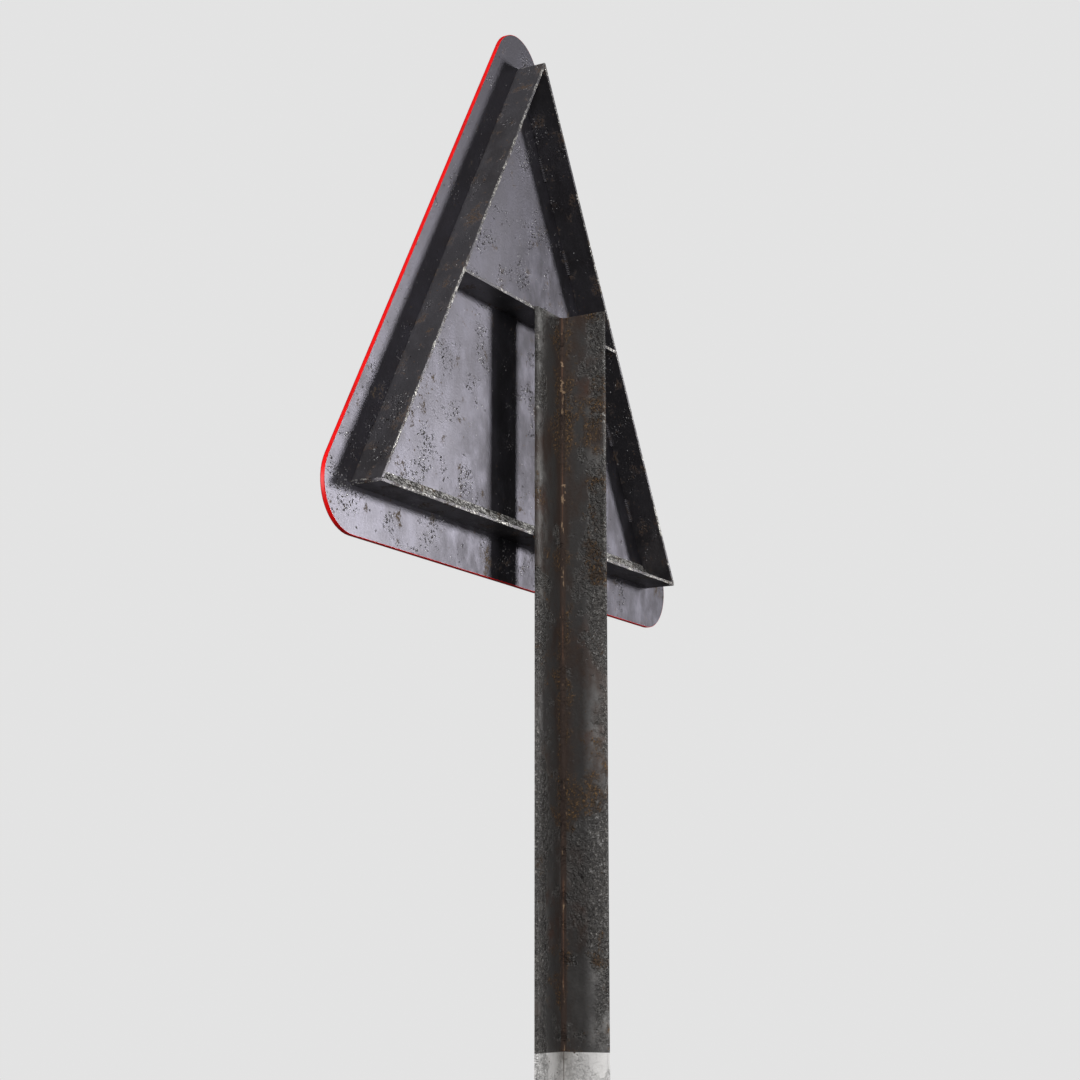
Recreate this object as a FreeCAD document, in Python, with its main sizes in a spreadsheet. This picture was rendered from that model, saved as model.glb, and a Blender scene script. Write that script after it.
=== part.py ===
import FreeCAD, Part
import os
import Sketcher

# A triangular road sign on an angle iron post, welded up from plate, flat bar and angle.
# Frame: +Z up, origin at the middle of the base plate's underside, sign face towards -Y.
# All sizes are millimetres and live in one spreadsheet, which every sub-part reads.

SIZES = {
    # sign plate: an equilateral triangle, given by its side before the corners are rounded
    "sign_side": 900,
    "sign_corner": 55,
    "sign_thick": 5,
    "sign_low": 2000,
    # films on the face: border ring, field inside it, symbol on the field
    "film_thick": 0.4,
    "border_width": 66,
    "border_corner": 18,
    "symbol_spread": 196,
    "symbol_rise": 222,
    "symbol_bar": 46,
    # frame of flat bar on edge behind the plate: frame_margin is the distance from the
    # plate's two sloping edges to the side bars, frame_lift that from its lower edge
    "frame_margin": 48.5,
    "frame_lift": 55,
    "bar_depth": 40,
    "bar_thick": 4,
    "apex_cut": 2,
    "cross_top": 346,
    # sloping strip in the corner between the plate and the bottom bar
    "strip_rise": 26,
    "strip_reach": 15,
    "strip_wall": 3,
    # angle iron post: heel to the -X side, one leg along X, the other along +Y
    "post_leg": 65,
    "post_wall": 5,
    "post_root": 6,
    "post_toe": 2.5,
    "post_heel": 38,
    "post_face": 28,
    # foot
    "base_side": 250,
    "base_thick": 10,
    "base_corner": 12,
    "hole_pitch": 190,
    "hole_bore": 18,
    "gusset_rise": 120,
    "gusset_reach": 60,
    "gusset_tip": 12,
    "gusset_clip": 12,
    "gusset_thick": 6,
    # weld beads
    "bead_leg": 4,
    "foot_bead_leg": 5,
    "stitch_run": 35,
    "strip_bead_gap": 3,
}

STITCHES_PER_SIDE_BAR = 4
STITCHES_ON_CROSSBAR = 3
TACKS_ON_STRIP = 3

# Derived places, as expressions over the sheet.
FRAME_LOW = "(Sizes.sign_low + Sizes.frame_lift)"
FRAME_SHELF = f"({FRAME_LOW} + Sizes.bar_thick)"
FRAME_APEX = "(Sizes.sign_low + Sizes.sign_side * sqrt(3) / 2 - 2 * Sizes.frame_margin)"
FRAME_HALF = f"(({FRAME_APEX} - {FRAME_SHELF}) / sqrt(3))"
INNER_APEX = f"({FRAME_APEX} - 2 * Sizes.bar_thick)"
CROSS_TOP = "(Sizes.sign_low + Sizes.cross_top)"
CROSS_LOW = f"({CROSS_TOP} - Sizes.bar_thick)"
PLATE_BACK = "(-Sizes.post_face - Sizes.bar_depth)"
PLATE_FRONT = f"({PLATE_BACK} - Sizes.sign_thick)"
FILM_FRONT = f"({PLATE_FRONT} - Sizes.film_thick)"
SIGN_MIDDLE = "(Sizes.sign_low + Sizes.sign_side / (2 * sqrt(3)))"
FIELD_SIDE = "(Sizes.sign_side - 2 * sqrt(3) * Sizes.border_width)"
POST_HEEL_X = "(-Sizes.post_heel)"
POST_TIP_X = "(Sizes.post_leg - Sizes.post_heel)"
POST_INNER_X = "(Sizes.post_wall - Sizes.post_heel)"
POST_FACE_Y = "(-Sizes.post_face)"
POST_TIP_Y = "(Sizes.post_leg - Sizes.post_face)"
POST_INNER_Y = "(Sizes.post_wall - Sizes.post_face)"
FRONT_GUSSET_X = "(Sizes.post_leg / 2 - Sizes.post_heel)"
SIDE_GUSSET_Y = "(Sizes.post_leg / 2 - Sizes.post_face)"

X_AXIS = FreeCAD.Vector(1, 0, 0)
Y_AXIS = FreeCAD.Vector(0, 1, 0)
Z_AXIS = FreeCAD.Vector(0, 0, 1)
HALF_ROOT_3 = 3 ** 0.5 / 2
SMALL = 0.01


def inner_half_width(height):
    """Half the clear width between the side bars' inner faces at a height."""
    return f"(({INNER_APEX} - {height}) / sqrt(3))"


def make_sheet(doc):
    """The spreadsheet: one row per size, its name in column A and its value in column B."""
    sheet = doc.addObject("Spreadsheet::Sheet", "Sizes")
    for row, (name, value) in enumerate(SIZES.items(), start=1):
        sheet.set(f"A{row}", name)
        sheet.set(f"B{row}", str(value))
        sheet.setAlias(f"B{row}", name)
    doc.recompute()
    return sheet


def number(doc, expression):
    """The value of an expression over the sheet."""
    return float(doc.getObject("Sizes").evalExpression(expression))


def place(item, x="0", y="0", z="0"):
    """Bind an object's position to the sheet."""
    item.setExpression("Placement.Base.x", x)
    item.setExpression("Placement.Base.y", y)
    item.setExpression("Placement.Base.z", z)


def origin_plane(body, role):
    """One of a body's own origin planes."""
    return next(item for item in body.Origin.OriginFeatures if item.Role == role)


def add_sketch(body, role, suffix="outline"):
    """An empty sketch on one of the body's origin planes."""
    sketch = body.newObject("Sketcher::SketchObject", f"{body.Label}_{suffix}")
    sketch.AttachmentSupport = [(origin_plane(body, role), "")]
    sketch.MapMode = "FlatFace"
    return sketch


def fix_point(sketch, geometry, point, across, up, at):
    """Tie a sketch point to its two coordinates, each an expression over the sheet."""
    first = sketch.addConstraint(Sketcher.Constraint("DistanceX", geometry, point, at.x))
    second = sketch.addConstraint(Sketcher.Constraint("DistanceY", geometry, point, at.y))
    sketch.setExpression(f"Constraints[{first}]", across)
    sketch.setExpression(f"Constraints[{second}]", up)


def draw_polygon(sketch, points):
    """A closed outline of straight lines whose corners are expressions over the sheet."""
    doc = sketch.Document
    spots = [FreeCAD.Vector(number(doc, across), number(doc, up), 0) for across, up in points]
    count = len(spots)
    for index in range(count):
        sketch.addGeometry(Part.LineSegment(spots[index], spots[(index + 1) % count]), False)
    for index in range(count):
        sketch.addConstraint(Sketcher.Constraint("Coincident", index, 2, (index + 1) % count, 1))
    for index, (across, up) in enumerate(points):
        fix_point(sketch, index, 1, across, up, spots[index])


def padded_body(doc, label, role, points, length, midplane=False):
    """A body made by padding one polygon drawn on an origin plane."""
    body = doc.addObject("PartDesign::Body", label)
    body.Label = label
    sketch = add_sketch(body, role)
    draw_polygon(sketch, points)
    pad = body.newObject("PartDesign::Pad", f"{label}_pad")
    pad.Profile = sketch
    pad.SideType = "Symmetric" if midplane else "One side"
    pad.setExpression("Length", length)
    doc.recompute()
    return body


def round_edges(body, radius, label, wanted):
    """Fillet the edges of the body's last feature that the test function picks."""
    base = body.Tip
    names = [f"Edge{index}" for index, edge in enumerate(base.Shape.Edges, start=1) if wanted(edge)]
    fillet = body.newObject("PartDesign::Fillet", label)
    fillet.Base = (base, names)
    fillet.setExpression("Radius", radius)
    body.Document.recompute()


def runs_along(edge, axis):
    """True for a straight edge parallel to an axis."""
    if not isinstance(edge.Curve, Part.Line):
        return False
    return abs(abs(edge.Curve.Direction.dot(axis)) - 1) < SMALL


def rounded_triangle(doc, label, side, low, radius, thickness, back):
    """A triangular sheet, apex up, between the plane y = back and thickness in front of it."""
    apex = f"({low} + {side} * sqrt(3) / 2)"
    points = [(f"-{side} / 2", low), (f"{side} / 2", low), ("0", apex)]
    body = padded_body(doc, label, "XZ_Plane", points, thickness)
    round_edges(body, radius, f"{label}_corners", lambda edge: runs_along(edge, Y_AXIS))
    place(body, y=back)
    return body


def make_sign(doc):
    """Sign plate with its three face films."""
    plate = rounded_triangle(
        doc, "sign_plate", "Sizes.sign_side", "Sizes.sign_low", "Sizes.sign_corner",
        "Sizes.sign_thick", PLATE_BACK)
    field = rounded_triangle(
        doc, "sign_field", FIELD_SIDE, "(Sizes.sign_low + Sizes.border_width)",
        "Sizes.border_corner", "Sizes.film_thick", PLATE_FRONT)
    sheet = rounded_triangle(
        doc, "border_sheet", "Sizes.sign_side", "Sizes.sign_low", "Sizes.sign_corner",
        "Sizes.film_thick", PLATE_FRONT)
    border = doc.addObject("Part::Cut", "sign_border")
    border.Base = sheet
    border.Tool = field
    return [plate, border, field, make_symbol(doc)]


def make_symbol(doc):
    """Saltire symbol on the field: two flat bars that cross at the triangle's middle."""
    length = "sqrt(Sizes.symbol_spread ^ 2 + Sizes.symbol_rise ^ 2)"
    half_x = f"(Sizes.symbol_bar / 2 * Sizes.symbol_rise / {length})"
    half_z = f"(Sizes.symbol_bar / 2 * Sizes.symbol_spread / {length})"
    arms = []
    for label, lean in (("symbol_rising_arm", "1"), ("symbol_falling_arm", "-1")):
        points = []
        for end, edge in (("-1", "-1"), ("-1", "1"), ("1", "1"), ("1", "-1")):
            across = f"{lean} * ({end} * Sizes.symbol_spread / 2 - {edge} * {half_x})"
            up = f"{SIGN_MIDDLE} + {end} * Sizes.symbol_rise / 2 + {edge} * {half_z}"
            points.append((across, up))
        arm = padded_body(doc, label, "XZ_Plane", points, "Sizes.film_thick")
        place(arm, y=FILM_FRONT)
        arms.append(arm)
    symbol = doc.addObject("Part::MultiFuse", "sign_symbol")
    symbol.Shapes = arms
    symbol.Refine = True
    return symbol


def level_outline(low_half, low, top_half, top):
    """Outline of a level piece, symmetric about x = 0, with a half width at its two heights."""
    return [(f"-{low_half}", low), (low_half, low), (top_half, top), (f"-{top_half}", top)]


def frame_bar(doc, label, points):
    """A flat bar on edge: its outline seen along Y, as deep as the frame."""
    bar = padded_body(doc, label, "XZ_Plane", points, "Sizes.bar_depth")
    place(bar, y=POST_FACE_Y)
    return bar


def side_bar(doc, label, side):
    """A side bar standing on the bottom bar and mitred to its twin at the apex.

    side is "1" for the +X bar and "-1" for the -X bar.
    """
    points = [
        (f"{side} * {FRAME_HALF}", FRAME_SHELF),
        (f"{side} * Sizes.apex_cut / sqrt(3)", f"{FRAME_APEX} - Sizes.apex_cut"),
        ("0", f"{FRAME_APEX} - Sizes.apex_cut"),
        ("0", INNER_APEX),
        (f"{side} * {inner_half_width(FRAME_SHELF)}", FRAME_SHELF),
    ]
    return frame_bar(doc, label, points)


def make_frame(doc):
    """Bottom bar, two side bars and the crossbar."""
    low_half = inner_half_width(CROSS_LOW)
    top_half = inner_half_width(CROSS_TOP)
    bottom = level_outline(FRAME_HALF, FRAME_LOW, FRAME_HALF, FRAME_SHELF)
    cross = level_outline(low_half, CROSS_LOW, top_half, CROSS_TOP)
    return [
        frame_bar(doc, "frame_bar_bottom", bottom),
        side_bar(doc, "frame_bar_left", "1"),
        side_bar(doc, "frame_bar_right", "-1"),
        frame_bar(doc, "cross_bar", cross),
    ]


def make_strip(doc):
    """Sloping strip from the plate down to the bottom bar, its ends cut to the side bars."""
    slope = "sqrt(Sizes.strip_rise ^ 2 + Sizes.strip_reach ^ 2)"
    section = [
        (PLATE_BACK, f"{FRAME_SHELF} + Sizes.strip_rise"),
        (f"{PLATE_BACK} + Sizes.strip_reach", FRAME_SHELF),
        (f"{PLATE_BACK} + Sizes.strip_reach - Sizes.strip_wall * {slope} / Sizes.strip_rise", FRAME_SHELF),
        (PLATE_BACK, f"{FRAME_SHELF} + Sizes.strip_rise - Sizes.strip_wall * {slope} / Sizes.strip_reach"),
    ]
    length = padded_body(doc, "strip_length", "YZ_Plane", section, f"2 * {FRAME_HALF}", midplane=True)
    top = f"({FRAME_SHELF} + Sizes.strip_rise)"
    space = level_outline(inner_half_width(FRAME_SHELF), FRAME_SHELF, inner_half_width(top), top)
    room = padded_body(doc, "strip_room", "XZ_Plane", space, "Sizes.strip_reach")
    place(room, y=f"{PLATE_BACK} + Sizes.strip_reach")
    strip = doc.addObject("Part::Common", "corner_strip")
    strip.Base = length
    strip.Tool = room
    return strip


def is_upright_at(edge, across, along):
    """True for a vertical edge that stands at a place in plan."""
    spot = edge.Vertexes[0].Point
    return runs_along(edge, Z_AXIS) and abs(spot.x - across) < SMALL and abs(spot.y - along) < SMALL


def make_post(doc):
    """Rolled equal angle: sharp heel, filleted root and rounded toes."""
    points = [
        (POST_HEEL_X, POST_FACE_Y),
        (POST_TIP_X, POST_FACE_Y),
        (POST_TIP_X, POST_INNER_Y),
        (POST_INNER_X, POST_INNER_Y),
        (POST_INNER_X, POST_TIP_Y),
        (POST_HEEL_X, POST_TIP_Y),
    ]
    post = padded_body(doc, "post", "XY_Plane", points, f"{CROSS_TOP} - Sizes.base_thick")
    inner_x = number(doc, POST_INNER_X)
    inner_y = number(doc, POST_INNER_Y)
    tip_x = number(doc, POST_TIP_X)
    tip_y = number(doc, POST_TIP_Y)
    round_edges(
        post, "Sizes.post_root", "post_root_fillet", lambda edge: is_upright_at(edge, inner_x, inner_y))
    round_edges(
        post, "Sizes.post_toe", "post_toe_fillets",
        lambda edge: is_upright_at(edge, tip_x, inner_y) or is_upright_at(edge, inner_x, tip_y))
    place(post, z="Sizes.base_thick")
    return post


def make_base_plate(doc):
    """Square base plate with rounded corners and four anchor holes."""
    half = "Sizes.base_side / 2"
    points = [(f"-{half}", f"-{half}"), (half, f"-{half}"), (half, half), (f"-{half}", half)]
    base = padded_body(doc, "base_plate", "XY_Plane", points, "Sizes.base_thick")
    round_edges(base, "Sizes.base_corner", "base_corners", lambda edge: runs_along(edge, Z_AXIS))
    holes = add_sketch(base, "XY_Plane", "holes")
    radius = number(doc, "Sizes.hole_bore / 2")
    offset = number(doc, "Sizes.hole_pitch / 2")
    for index, (right, back) in enumerate(((-1, -1), (1, -1), (1, 1), (-1, 1))):
        centre = FreeCAD.Vector(right * offset, back * offset, 0)
        holes.addGeometry(Part.Circle(centre, Z_AXIS, radius), False)
        rim = holes.addConstraint(Sketcher.Constraint("Radius", index, radius))
        holes.setExpression(f"Constraints[{rim}]", "Sizes.hole_bore / 2")
        across = f"{right} * Sizes.hole_pitch / 2"
        along = f"{back} * Sizes.hole_pitch / 2"
        fix_point(holes, index, 3, across, along, centre)
    pocket = base.newObject("PartDesign::Pocket", "anchor_holes")
    pocket.Profile = holes
    pocket.Type = "ThroughAll"
    pocket.Reversed = True
    doc.recompute()
    return base


def gusset_outline(start, outward):
    """Right-angled web with a blunt tip, and its inner corner clipped clear of the foot weld.

    start is where the web meets the post, outward is "-1" or "1" for its direction.
    """
    low = "Sizes.base_thick"
    top = "(Sizes.base_thick + Sizes.gusset_rise)"
    far = f"({start} + {outward} * Sizes.gusset_reach)"
    return [
        (f"{start} + {outward} * Sizes.gusset_clip", low),
        (far, low),
        (far, f"{low} + Sizes.gusset_tip"),
        (f"{start} + {outward} * Sizes.gusset_tip", top),
        (start, top),
        (start, f"{low} + Sizes.gusset_clip"),
    ]


def make_gussets(doc):
    """Two webs between the post's outer faces and the base plate."""
    front = padded_body(
        doc, "base_gusset_front", "YZ_Plane", gusset_outline(POST_FACE_Y, "-1"), "Sizes.gusset_thick", True)
    place(front, x=FRONT_GUSSET_X)
    side = padded_body(
        doc, "base_gusset_side", "XZ_Plane", gusset_outline(POST_HEEL_X, "-1"), "Sizes.gusset_thick", True)
    place(side, y=SIDE_GUSSET_Y)
    return [front, side]


def add_bead(doc, label, start, along, first, length, leg="Sizes.bead_leg", angle="90"):
    """A weld bead: a sector of a cylinder that fills the corner between two faces.

    The bead starts at a corner point and runs along one direction. first is the direction
    of the face from which the sector opens, turning by the right-hand rule about the run.
    """
    bead = doc.addObject("Part::Cylinder", label)
    bead.setExpression("Radius", leg)
    bead.setExpression("Height", length)
    bead.setExpression("Angle", angle)
    second = along.cross(first)
    bead.Placement = FreeCAD.Placement(FreeCAD.Vector(), FreeCAD.Rotation(first, second, along, "ZXY"))
    place(bead, *start)
    return bead


def weld(doc, label, beads):
    """One weld node: its beads as separate solids."""
    group = doc.addObject("Part::Compound", label)
    group.Links = beads
    return group


def corner_weld(doc, label, side, height, start, length):
    """Bead in the 60 degree corner above a level bar, where it meets a side bar."""
    up_the_bar = FreeCAD.Vector(0.5, 0, HALF_ROOT_3)
    first = -X_AXIS if side == "1" else up_the_bar
    corner = (f"{side} * {inner_half_width(height)}", start, height)
    bead = add_bead(doc, f"{label}_bead", corner, Y_AXIS, first, length, angle="60")
    return weld(doc, label, [bead])


def make_frame_welds(doc):
    """Beads inside the apex, the two lower corners and above the crossbar's ends."""
    down_the_bar = FreeCAD.Vector(0.5, 0, -HALF_ROOT_3)
    apex = add_bead(
        doc, "apex_bead", ("0", PLATE_BACK, INNER_APEX), Y_AXIS, down_the_bar, "Sizes.bar_depth", angle="60")
    clear = "(Sizes.strip_reach + Sizes.strip_bead_gap)"
    low_start = f"{PLATE_BACK} + {clear}"
    low_run = f"Sizes.bar_depth - {clear}"
    return [
        weld(doc, "weld_apex", [apex]),
        corner_weld(doc, "weld_corner_left", "1", FRAME_SHELF, low_start, low_run),
        corner_weld(doc, "weld_corner_right", "-1", FRAME_SHELF, low_start, low_run),
        corner_weld(doc, "weld_cross_left", "1", CROSS_TOP, PLATE_BACK, "Sizes.bar_depth"),
        corner_weld(doc, "weld_cross_right", "-1", CROSS_TOP, PLATE_BACK, "Sizes.bar_depth"),
    ]


def side_stitches(doc, label, side):
    """Short beads between the plate's back and a side bar's inner face, evenly spaced.

    The crossbar divides a side bar into two stretches, which get the same number each.
    """
    way = 1 if side == "1" else -1
    inward = FreeCAD.Vector(-way * HALF_ROOT_3, 0, -0.5)
    run = FreeCAD.Vector(way * 0.5, 0, -HALF_ROOT_3)
    if way < 0:
        run = -run
    per_stretch = STITCHES_PER_SIDE_BAR // 2
    stretches = ((FRAME_SHELF, CROSS_LOW), (CROSS_TOP, INNER_APEX))
    beads = []
    for stretch, (low, high) in enumerate(stretches):
        for index in range(per_stretch):
            share = f"({index} + 1) / ({per_stretch} + 1)"
            middle = f"({low} + ({high} - {low}) * {share})"
            lift = f"({way} * Sizes.stitch_run * sqrt(3) / 4)"
            height = f"({middle} + {lift})"
            start = (f"{side} * {inner_half_width(height)}", PLATE_BACK, height)
            name = f"{label}_bead_{stretch}_{index}"
            beads.append(add_bead(doc, name, start, run, inward, "Sizes.stitch_run"))
    return weld(doc, label, beads)


def level_beads(doc, label, count, half_width, y, z, first, angle="90"):
    """Evenly spaced level beads of one stitch each, along a bar."""
    run = "Sizes.stitch_run"
    beads = []
    for index in range(count):
        middle = f"{half_width} * (2 * ({index} + 1) / ({count} + 1) - 1)"
        start = (f"{middle} - {run} / 2", y, z)
        beads.append(add_bead(doc, f"{label}_bead_{index}", start, X_AXIS, first, run, angle=angle))
    return weld(doc, label, beads)


def make_plate_welds(doc):
    """Stitches that hold the frame to the plate, and the strip's tacks on the bottom bar."""
    strip_foot = f"{PLATE_BACK} + Sizes.strip_reach"
    strip_angle = "180 deg - atan(Sizes.strip_rise / Sizes.strip_reach)"
    return [
        side_stitches(doc, "weld_plate_left", "1"),
        side_stitches(doc, "weld_plate_right", "-1"),
        level_beads(
            doc, "weld_plate_cross", STITCHES_ON_CROSSBAR, inner_half_width(CROSS_TOP), PLATE_BACK, CROSS_TOP,
            Y_AXIS),
        level_beads(
            doc, "weld_strip", TACKS_ON_STRIP, inner_half_width(FRAME_SHELF), strip_foot, FRAME_SHELF, Y_AXIS,
            strip_angle),
    ]


def make_post_welds(doc):
    """Beads between the post's front face and the two level bars."""
    heel = POST_HEEL_X
    leg = "Sizes.post_leg"
    under_cross = add_bead(doc, "post_cross_bead", (heel, POST_FACE_Y, CROSS_LOW), X_AXIS, -Y_AXIS, leg)
    over_bottom = add_bead(doc, "post_shelf_bead", (heel, POST_FACE_Y, FRAME_SHELF), X_AXIS, Z_AXIS, leg)
    under_bottom = add_bead(doc, "post_low_bead", (heel, POST_FACE_Y, FRAME_LOW), X_AXIS, -Y_AXIS, leg)
    return [
        weld(doc, "weld_post_cross", [under_cross]),
        weld(doc, "weld_post_bottom", [over_bottom, under_bottom]),
    ]


def make_foot_welds(doc):
    """Beads round the post's foot and along both sides of each gusset."""
    floor = "Sizes.base_thick"
    leg = "Sizes.foot_bead_leg"
    outer = "Sizes.post_leg"
    inner = "Sizes.post_leg - Sizes.post_wall - Sizes.post_root"
    past_root_x = f"{POST_INNER_X} + Sizes.post_root"
    past_root_y = f"{POST_INNER_Y} + Sizes.post_root"
    post_beads = [
        add_bead(doc, "foot_front_bead", (POST_HEEL_X, POST_FACE_Y, floor), X_AXIS, Z_AXIS, outer, leg),
        add_bead(doc, "foot_side_bead", (POST_HEEL_X, POST_FACE_Y, floor), Y_AXIS, -X_AXIS, outer, leg),
        add_bead(doc, "foot_inner_x_bead", (past_root_x, POST_INNER_Y, floor), X_AXIS, Y_AXIS, inner, leg),
        add_bead(doc, "foot_inner_y_bead", (POST_INNER_X, past_root_y, floor), Y_AXIS, Z_AXIS, inner, leg),
    ]
    run = "Sizes.gusset_reach - Sizes.gusset_clip"
    half = "Sizes.gusset_thick / 2"
    front_start = f"{POST_FACE_Y} - Sizes.gusset_reach"
    side_start = f"{POST_HEEL_X} - Sizes.gusset_reach"
    front_plus = (f"{FRONT_GUSSET_X} + {half}", front_start, floor)
    front_minus = (f"{FRONT_GUSSET_X} - {half}", front_start, floor)
    side_plus = (side_start, f"{SIDE_GUSSET_Y} + {half}", floor)
    side_minus = (side_start, f"{SIDE_GUSSET_Y} - {half}", floor)
    gusset_beads = [
        add_bead(doc, "front_web_plus_bead", front_plus, Y_AXIS, Z_AXIS, run),
        add_bead(doc, "front_web_minus_bead", front_minus, Y_AXIS, -X_AXIS, run),
        add_bead(doc, "side_web_plus_bead", side_plus, X_AXIS, Y_AXIS, run),
        add_bead(doc, "side_web_minus_bead", side_minus, X_AXIS, Z_AXIS, run),
    ]
    return [weld(doc, "weld_foot", post_beads), weld(doc, "weld_gussets", gusset_beads)]


def check(doc, nodes):
    """Stop if any object failed or any sub-part's shape is empty or invalid."""
    for item in doc.Objects:
        if "Invalid" in item.State or "Error" in item.State:
            raise RuntimeError(f"{item.Label} failed: {item.State}")
    for node in nodes:
        if node.Shape.isNull() or not node.Shape.isValid() or not node.Shape.Solids:
            raise RuntimeError(f"{node.Label} has no valid solid")


def main():
    doc = FreeCAD.newDocument("signpost")
    make_sheet(doc)
    nodes = make_sign(doc)
    nodes += make_frame(doc)
    nodes.append(make_strip(doc))
    nodes.append(make_post(doc))
    nodes.append(make_base_plate(doc))
    nodes += make_gussets(doc)
    nodes += make_frame_welds(doc)
    nodes += make_plate_welds(doc)
    nodes += make_post_welds(doc)
    nodes += make_foot_welds(doc)
    doc.recompute()
    check(doc, nodes)
    os.makedirs("parts", exist_ok=True)
    for node in nodes:
        node.Shape.exportStep(f"parts/{node.Label}.step")
        box = node.Shape.BoundBox
        size = f"{box.XLength:.1f} x {box.YLength:.1f} x {box.ZLength:.1f}"
        print(f"{node.Label}: {len(node.Shape.Solids)} solids, {size} mm")


main()
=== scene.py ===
"""Signpost with sign: a welded triangular road sign on an angle iron post, seen from behind.

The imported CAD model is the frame. This script makes the visible surfaces: plates, bars and
the post with rounded and worn edges, rippled weld beads, and weathered paint on each of them.
"""

import logging
import math
from dataclasses import dataclass, field
from enum import Enum
from typing import Callable, Sequence

import bpy
import numpy as np
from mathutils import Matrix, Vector
from mathutils.geometry import tessellate_polygon


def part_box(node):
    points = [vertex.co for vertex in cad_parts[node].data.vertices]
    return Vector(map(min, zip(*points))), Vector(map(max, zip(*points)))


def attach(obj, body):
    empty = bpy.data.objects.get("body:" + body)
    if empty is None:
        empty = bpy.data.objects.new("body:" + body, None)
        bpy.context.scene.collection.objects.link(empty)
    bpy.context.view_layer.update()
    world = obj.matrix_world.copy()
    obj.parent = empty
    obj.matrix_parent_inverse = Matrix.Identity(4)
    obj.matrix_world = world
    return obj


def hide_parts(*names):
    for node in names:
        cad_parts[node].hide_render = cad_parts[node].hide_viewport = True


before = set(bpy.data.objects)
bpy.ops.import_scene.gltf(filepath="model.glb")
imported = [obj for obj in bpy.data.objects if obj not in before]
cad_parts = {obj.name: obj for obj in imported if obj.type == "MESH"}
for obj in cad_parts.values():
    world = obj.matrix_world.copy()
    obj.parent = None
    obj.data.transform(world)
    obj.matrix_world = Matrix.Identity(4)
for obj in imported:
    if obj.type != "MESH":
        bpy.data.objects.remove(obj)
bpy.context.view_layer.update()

LOG = logging.getLogger("signpost")
MM = 0.001
ROOT_3 = math.sqrt(3.0)
BODY = "root"
EDGE_ATTRIBUTE = "edge_mm"
FAR_FROM_EDGE = 1000.0
SHARP_RADIUS = 3 * MM
SHARP_STEPS = 4
ROUND_STEPS = 24
RIM_STEPS = 3
HOLE_STEPS = 48
END_GAP = 1 * MM
QUARTER = math.pi / 2
CREASE_ANGLE = math.radians(40)
RIGHT, BACK, UP = Vector((1, 0, 0)), Vector((0, 1, 0)), Vector((0, 0, 1))

Socket = bpy.types.NodeSocket
Material = bpy.types.Material


# ---- outlines and slabs


class Plane(Enum):
    """The plane of an outline: its two directions and its depth's, right-handed."""

    XY = ((1, 0, 0), (0, 1, 0), (0, 0, 1))
    XZ = ((1, 0, 0), (0, 0, 1), (0, -1, 0))
    YZ = ((0, 1, 0), (0, 0, 1), (1, 0, 0))


@dataclass(frozen=True)
class Corner:
    """One corner of an outline, in metres, with the radius it is rounded to."""

    across: float
    up: float
    radius: float


def rounded(spots: Sequence[tuple[float, float]], radius: float) -> list[Corner]:
    """Corners at the given spots, all of one radius."""
    return [Corner(across, up, radius) for across, up in spots]


@dataclass
class Outline:
    """A closed outline, anticlockwise: points, normals and distance to a sharp corner."""

    points: np.ndarray
    normals: np.ndarray
    to_corner: np.ndarray


def spaced(length: float, step: float) -> np.ndarray:
    """Places along a straight run, without its ends: close to both and even between them.

    Args:
        length: the run's length.
        step: the greatest spacing.

    Returns:
        Rising distances from the start.
    """
    if length < 4 * END_GAP:
        return np.array([length / 2])
    count = max(2, int(math.ceil((length - 2 * END_GAP) / step)) + 1)
    return np.linspace(END_GAP, length - END_GAP, count)


def ring_quads(rows: int, columns: int, first: int = 0) -> list:
    """Quads between the closed rings of a grid.

    Args:
        rows: number of rings.
        columns: vertices in a ring.
        first: index of the first vertex.

    Returns:
        Lists of four indices.
    """
    row = np.arange(rows - 1)[:, None] * columns + first
    here = np.arange(columns)[None]
    there = (here + 1) % columns
    quads = np.stack([row + here, row + there, row + columns + there, row + columns + here], axis=2)
    return quads.reshape(-1, 4).tolist()


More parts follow.
